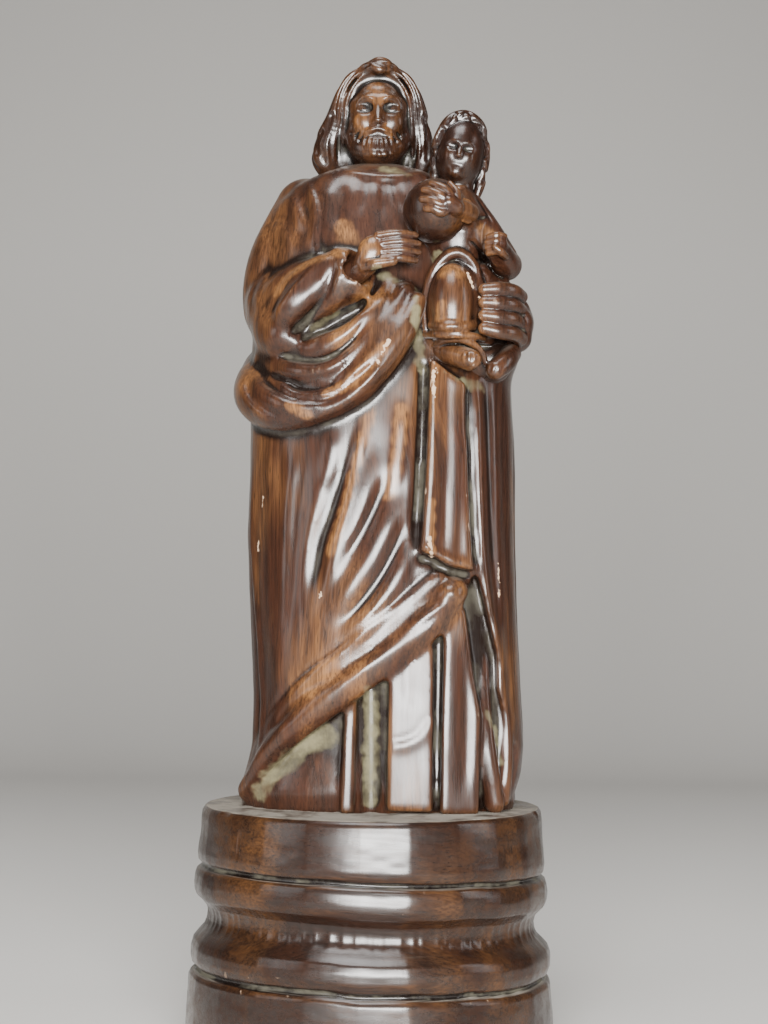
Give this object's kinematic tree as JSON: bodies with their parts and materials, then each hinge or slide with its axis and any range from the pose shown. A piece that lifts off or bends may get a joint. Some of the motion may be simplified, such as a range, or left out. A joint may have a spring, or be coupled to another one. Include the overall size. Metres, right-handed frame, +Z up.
{
  "type": "carved wooden figurine",
  "caption": "Dark-stained carved wood figurine of a robed, bearded man holding a child with a ball, standing on a round banded plinth; free-standing, no moving parts.",
  "frame": {"origin": "centre of the plinth's underside", "axes": "+Z up along the figure, the figure faces -Y, +X is to the viewer's right, on the side of the child"},
  "size_m": [0.143, 0.143, 0.4009],
  "materials": {
    "stained_wood": "dark brown stain under gloss varnish, rubbed lighter on ridges, dust in hollows",
    "stained_wood_dark": "red-brown stain under full gloss varnish",
    "stained_wood_plinth": "dark brown stain under satin-gloss varnish with gouge marks",
    "bare_wood": "bare, unfinished dowel"
  },
  "bodies": {
    "root": {"plinth_block": "stained_wood_plinth", "robe_block": "stained_wood", "man_head": "stained_wood_dark", "man_right_hand": "stained_wood", "man_left_hand": "stained_wood", "child_body": "stained_wood", "child_head": "stained_wood_dark", "child_right_hand": "stained_wood", "child_left_forearm": "stained_wood", "orb": "stained_wood_dark", "plinth_dowel_left": "bare_wood", "plinth_dowel_right": "bare_wood", "child_dowel_upper": "bare_wood", "child_dowel_lower": "bare_wood", "child_neck_dowel": "bare_wood", "orb_pin": "bare_wood"}
  },
  "joints": []
}
